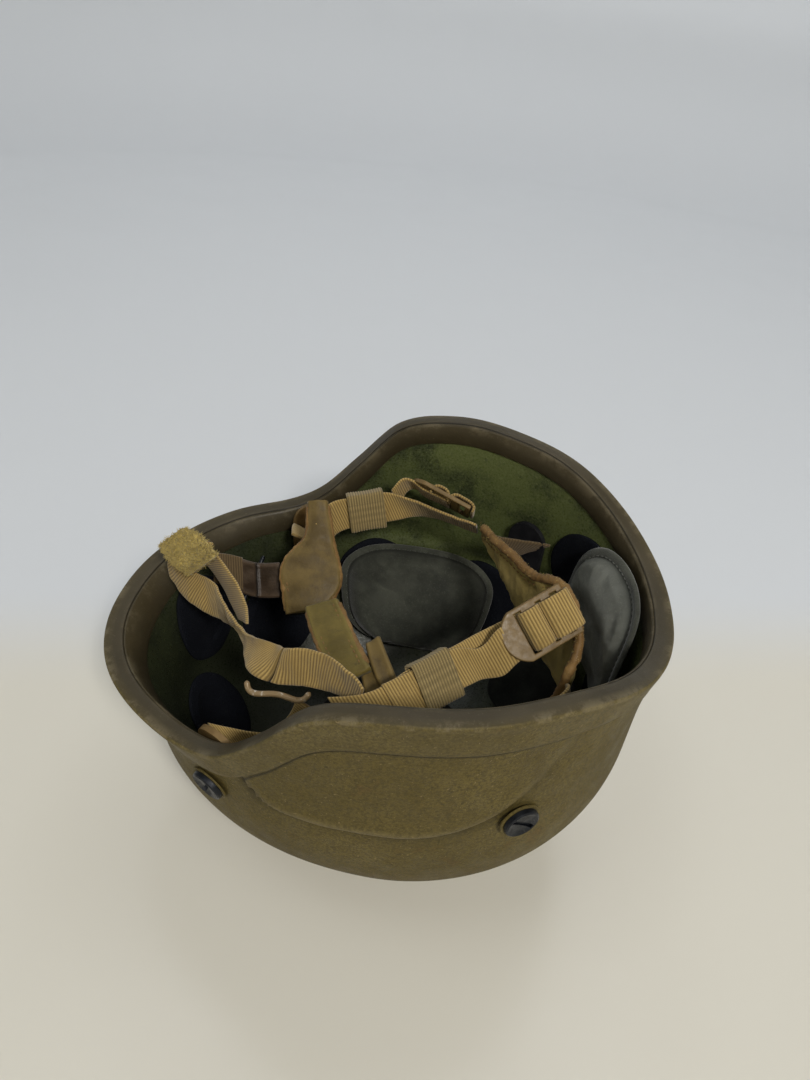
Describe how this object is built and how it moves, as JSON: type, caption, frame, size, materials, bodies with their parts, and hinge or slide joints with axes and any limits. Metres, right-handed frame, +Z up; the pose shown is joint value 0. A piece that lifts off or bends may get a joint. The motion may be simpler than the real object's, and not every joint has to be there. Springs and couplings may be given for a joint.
{
  "type": "protective helmet",
  "caption": "Hard protective cap with a rubber-edged composite shell, removable pad lining and an adjustable webbing chin and nape harness.",
  "frame": {"origin": "on the floor under the upturned crown, at the middle of the edge trim's length and width", "axes": "+Z up out of the opening of the upturned cap, +X towards the nape, -X towards the brow, +Y towards the wearer's left"},
  "size_m": [0.2841, 0.2362, 0.1925],
  "materials": {
    "laminate": "fine textured olive drab paint",
    "trim_rubber": "painted rubber",
    "black_metal": "black oxide",
    "leather_tan": "soft split leather",
    "leather_brown": "dark split leather",
    "leather_olive": "olive synthetic leather",
    "hook_black": "hook tape",
    "pad_dark": "brushed knit over foam",
    "pad_light": "brushed felt over foam",
    "webbing_tan": "ribbed nylon webbing",
    "pile_tan": "loop pile",
    "buckle_tan": "moulded acetal",
    "elastic_grey": "knitted elastic"
  },
  "bodies": {
    "root": {"shell": "laminate", "edge_trim": "trim_rubber", "screws": "black_metal", "washers": "black_metal", "screw_posts": "black_metal", "anchor_tabs": "leather_tan", "hook_discs": "hook_black", "right_adjuster_strap": "webbing_tan", "right_strap_tail": "webbing_tan", "left_adjuster_strap": "webbing_tan", "left_strap_fold": "webbing_tan", "right_front_strap": "webbing_tan", "left_front_strap": "webbing_tan", "right_rear_strap": "webbing_tan", "left_rear_strap": "webbing_tan", "chin_strap": "webbing_tan", "chin_strap_return": "webbing_tan", "left_chin_link": "leather_brown", "left_yoke": "leather_tan", "right_yoke": "leather_olive", "right_yoke_flaps": "leather_tan", "nape_band": "leather_olive", "chin_rails": "buckle_tan"},
    "crown_pad": {"crown_pad": "pad_dark"},
    "left_side_pad": {"left_side_pad": "pad_dark"},
    "right_side_pad": {"right_side_pad": "pad_dark"},
    "rear_pad": {"rear_pad": "pad_light"},
    "lower_rear_pad": {"lower_rear_pad": "pad_dark"},
    "right_keeper": {"right_keeper": "elastic_grey"},
    "left_keeper": {"left_keeper": "elastic_grey"},
    "right_buckle": {"right_buckle": "buckle_tan", "right_buckle_webbing": "webbing_tan"},
    "left_buckle": {"left_buckle": "buckle_tan", "left_buckle_webbing": "webbing_tan"},
    "chin_patch": {"chin_strap_patch": "pile_tan"}
  },
  "joints": [
    {"name": "crown_pad_pull", "type": "slide", "parent": "root", "child": "crown_pad", "axis": [0, 0, 1], "range_m": [0, 0.012]},
    {"name": "left_side_pad_pull", "type": "slide", "parent": "root", "child": "left_side_pad", "axis": [0, -1, 0], "range_m": [0, 0.012]},
    {"name": "right_side_pad_pull", "type": "slide", "parent": "root", "child": "right_side_pad", "axis": [0, 1, 0], "range_m": [0, 0.012]},
    {"name": "rear_pad_pull", "type": "slide", "parent": "root", "child": "rear_pad", "axis": [-0.9743, -0.2251, 0], "range_m": [0, 0.004]},
    {"name": "lower_rear_pad_pull", "type": "slide", "parent": "root", "child": "lower_rear_pad", "axis": [-0.6993, -0.3896, 0.5994], "range_m": [0, 0.01]},
    {"name": "right_buckle_tilt", "type": "hinge", "parent": "root", "child": "right_buckle", "pos_m": [0.091, -0.012, 0.171], "axis": [-0.6154, 0.4523, 0.6455], "range_deg": [0, 30]},
    {"name": "left_buckle_tilt", "type": "hinge", "parent": "root", "child": "left_buckle", "pos_m": [0.037, 0.076, 0.152], "axis": [0.0065, 0.6783, -0.7348], "range_deg": [0, 25]},
    {"name": "right_keeper_slide", "type": "slide", "parent": "root", "child": "right_keeper", "axis": [0.6791, 0.7341, 0], "range_m": [-0.003, 0.003]},
    {"name": "left_keeper_slide", "type": "slide", "parent": "root", "child": "left_keeper", "axis": [0.9275, 0.3438, 0.1469], "range_m": [-0.002, 0.003]},
    {"name": "chin_patch_peel", "type": "hinge", "parent": "root", "child": "chin_patch", "pos_m": [-0.098, 0.007, 0.14], "axis": [0.6948, 0.4809, 0.5348], "range_deg": [0, 50]}
  ]
}
